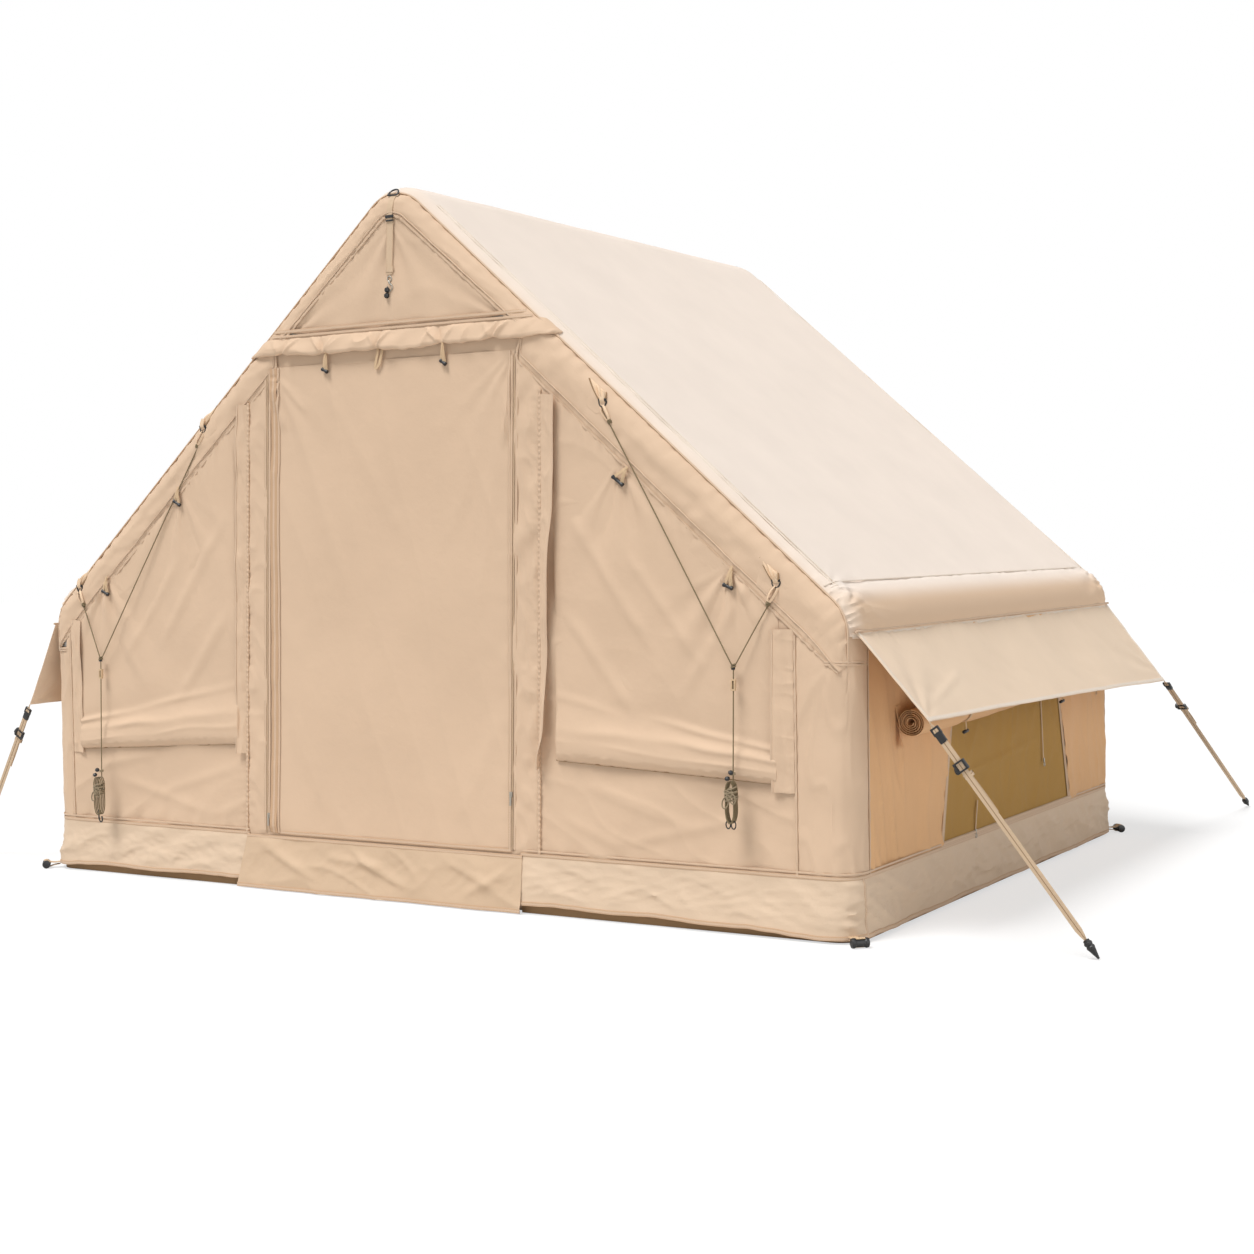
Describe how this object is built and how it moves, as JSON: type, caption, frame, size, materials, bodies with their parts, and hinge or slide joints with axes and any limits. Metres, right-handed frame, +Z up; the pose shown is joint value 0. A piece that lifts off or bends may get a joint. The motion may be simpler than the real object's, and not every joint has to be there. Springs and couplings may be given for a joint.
{
  "type": "inflatable camping tent",
  "caption": "A-frame inflatable tent with front door, closed front windows, open side windows and guyed side awnings.",
  "frame": {"origin": "centre of the footprint, on the ground under the groundsheet", "axes": "+Z up, -Y out of the door gable, X across the tent, ridge along Y"},
  "size_m": [4.1611, 3.237, 2.175],
  "materials": {
    "roof_cloth": "satin coated cloth",
    "wall_cloth": "satin coated cloth",
    "side_cloth": "satin coated cloth",
    "skirt_cloth": "satin coated cloth",
    "floor_cloth": "matt coated cloth",
    "bladder_film": "smooth film",
    "insect_screen": "fine open weave",
    "webbing": "woven webbing",
    "guy_cord": "braided cord",
    "black_plastic": "moulded",
    "hook_steel": "satin"
  },
  "bodies": {
    "tent": {"front_arch_tube": "bladder_film", "rear_arch_tube": "bladder_film", "ridge_tube": "bladder_film", "eave_tube_left": "bladder_film", "eave_tube_right": "bladder_film", "roof": "roof_cloth", "front_arch_sleeve": "wall_cloth", "rear_arch_sleeve": "wall_cloth", "gable_panel": "wall_cloth", "front_wall_left": "wall_cloth", "front_wall_right": "wall_cloth", "rear_wall": "wall_cloth", "side_wall_left": "side_cloth", "side_wall_right": "side_cloth", "groundsheet": "floor_cloth", "skirt_left": "skirt_cloth", "skirt_right": "skirt_cloth", "side_mesh_left": "insect_screen", "side_mesh_right": "insect_screen", "side_roll_left": "side_cloth", "side_roll_right": "side_cloth", "apex_webbing": "webbing", "inflation_valve": "black_plastic", "corner_peg_front_left": "black_plastic", "corner_peg_front_right": "black_plastic", "corner_peg_rear_left": "black_plastic", "corner_peg_rear_right": "black_plastic", "guy_anchor_upper_left": "webbing", "guy_anchor_lower_left": "webbing", "guy_anchor_upper_right": "webbing", "guy_anchor_lower_right": "webbing"},
    "door": {"door_panel": "wall_cloth"},
    "zip_left": {"zip_slider_left": "hook_steel"},
    "zip_right": {"zip_slider_right": "hook_steel"},
    "hood": {"door_hood": "wall_cloth"},
    "threshold": {"threshold_flap": "skirt_cloth"},
    "lamp_hook": {"lamp_hook": "hook_steel"},
    "valve_cap": {"valve_cap": "black_plastic"},
    "cover_left": {"window_cover_left": "wall_cloth"},
    "guy_left": {"guy_bridle_left": "guy_cord", "guy_hank_left": "guy_cord"},
    "guy_slider_left": {"guy_slider_left": "webbing"},
    "awning_left": {"awning_left": "roof_cloth"},
    "strap_front_left": {"awning_strap_front_left": "webbing", "ground_peg_front_left": "black_plastic"},
    "lock_front_left": {"strap_lock_front_left": "black_plastic"},
    "strap_rear_left": {"awning_strap_rear_left": "webbing", "ground_peg_rear_left": "black_plastic"},
    "lock_rear_left": {"strap_lock_rear_left": "black_plastic"},
    "cover_right": {"window_cover_right": "wall_cloth"},
    "guy_right": {"guy_bridle_right": "guy_cord", "guy_hank_right": "guy_cord"},
    "guy_slider_right": {"guy_slider_right": "webbing"},
    "awning_right": {"awning_right": "roof_cloth"},
    "strap_front_right": {"awning_strap_front_right": "webbing", "ground_peg_front_right": "black_plastic"},
    "lock_front_right": {"strap_lock_front_right": "black_plastic"},
    "strap_rear_right": {"awning_strap_rear_right": "webbing", "ground_peg_rear_right": "black_plastic"},
    "lock_rear_right": {"strap_lock_rear_right": "black_plastic"}
  },
  "joints": [
    {"name": "door_lift", "type": "hinge", "parent": "tent", "child": "door", "pos_m": [0, -1.129, 1.5984], "axis": [-1, 0, 0], "range_deg": [0, 95]},
    {"name": "hood_lift", "type": "hinge", "parent": "tent", "child": "hood", "pos_m": [0, -1.1303, 1.742], "axis": [-1, 0, 0], "range_deg": [0, 60]},
    {"name": "threshold_lift", "type": "hinge", "parent": "tent", "child": "threshold", "pos_m": [0, -1.1303, 0.172], "axis": [-1, 0, 0], "range_deg": [0, 90]},
    {"name": "hook_swing", "type": "hinge", "parent": "tent", "child": "lamp_hook", "pos_m": [0, -1.1328, 1.9047], "axis": [-1, 0, 0], "range_deg": [0, 70]},
    {"name": "cap_turn", "type": "hinge", "parent": "tent", "child": "valve_cap", "pos_m": [1.395, 1.1426, 0.3], "axis": [0, 1, 0], "continuous": true},
    {"name": "zip_left_slide", "type": "slide", "parent": "door", "child": "zip_left", "axis": [0.0302, 0, 0.9995], "range_m": [0, 1.32]},
    {"name": "cover_left_lift", "type": "hinge", "parent": "tent", "child": "cover_left", "pos_m": [-1.005, -1.1303, 1.16092], "axis": [-0.7485, 0, -0.6631], "range_deg": [0, 90]},
    {"name": "guy_left_swing", "type": "hinge", "parent": "tent", "child": "guy_left", "pos_m": [-1.0655, -1.13158, 1.20372], "axis": [-0.7455, 0, -0.6665], "range_deg": [0, 92]},
    {"name": "guy_slider_left_slide", "type": "slide", "parent": "guy_left", "child": "guy_slider_left", "axis": [0, 0.0277, 0.9996], "range_m": [-0.3, 0.015]},
    {"name": "awning_left_lift", "type": "hinge", "parent": "tent", "child": "awning_left", "pos_m": [-1.5006, 0, 0.83594], "axis": [0, 1, 0], "range_deg": [0, 60]},
    {"name": "strap_front_left_swing", "type": "hinge", "parent": "awning_left", "child": "strap_front_left", "pos_m": [-1.6126, -1.13, 0.55994], "axis": [0, 1, 0], "range_deg": [-73, 1]},
    {"name": "lock_front_left_slide", "type": "slide", "parent": "strap_front_left", "child": "lock_front_left", "axis": [-0.5886, 0.1554, -0.7933], "range_m": [-0.1, 0.48]},
    {"name": "strap_rear_left_swing", "type": "hinge", "parent": "awning_left", "child": "strap_rear_left", "pos_m": [-1.6126, 1.13, 0.54594], "axis": [0, 1, 0], "range_deg": [-97, 1]},
    {"name": "lock_rear_left_slide", "type": "slide", "parent": "strap_rear_left", "child": "lock_rear_left", "axis": [-0.0754, 0.8559, -0.5115], "range_m": [-0.16, 0.77]},
    {"name": "zip_right_slide", "type": "slide", "parent": "door", "child": "zip_right", "axis": [0.0267, 0, 0.9996], "range_m": [-0.13, 1.2]},
    {"name": "cover_right_lift", "type": "hinge", "parent": "tent", "child": "cover_right", "pos_m": [0.93, -1.1303, 1.20466], "axis": [-0.7485, 0, 0.6631], "range_deg": [0, 90]},
    {"name": "guy_right_swing", "type": "hinge", "parent": "tent", "child": "guy_right", "pos_m": [1.0095, -1.1334, 1.21118], "axis": [-0.7243, 0, 0.6895], "range_deg": [0, 92]},
    {"name": "guy_slider_right_slide", "type": "slide", "parent": "guy_right", "child": "guy_slider_right", "axis": [0, 0.0355, 0.9994], "range_m": [-0.21, 0.015]},
    {"name": "awning_right_lift", "type": "hinge", "parent": "tent", "child": "awning_right", "pos_m": [1.5006, 0, 0.83594], "axis": [0, -1, 0], "range_deg": [-14, 45]},
    {"name": "strap_front_right_swing", "type": "hinge", "parent": "awning_right", "child": "strap_front_right", "pos_m": [1.7176, -1.13, 0.60694], "axis": [0, -1, 0], "range_deg": [-68, 22]},
    {"name": "lock_front_right_slide", "type": "slide", "parent": "strap_front_right", "child": "lock_front_right", "axis": [0.5585, 0.1474, -0.8163], "range_m": [-0.1, 0.48]},
    {"name": "strap_rear_right_swing", "type": "hinge", "parent": "awning_right", "child": "strap_rear_right", "pos_m": [1.7016, 1.13, 0.55894], "axis": [0, -1, 0], "range_deg": [-118, 38]},
    {"name": "lock_rear_right_slide", "type": "slide", "parent": "strap_rear_right", "child": "lock_rear_right", "axis": [0.0749, 0.8506, -0.5205], "range_m": [-0.16, 0.77]}
  ],
  "couplings": [
    {"joint": "guy_left_swing", "follows": "cover_left_lift", "ratio": 1},
    {"joint": "strap_front_left_swing", "follows": "awning_left_lift", "ratio": -1.2},
    {"joint": "strap_rear_left_swing", "follows": "awning_left_lift", "ratio": -1.6},
    {"joint": "guy_right_swing", "follows": "cover_right_lift", "ratio": 1},
    {"joint": "strap_front_right_swing", "follows": "awning_right_lift", "ratio": -1.5},
    {"joint": "strap_rear_right_swing", "follows": "awning_right_lift", "ratio": -2.6}
  ]
}
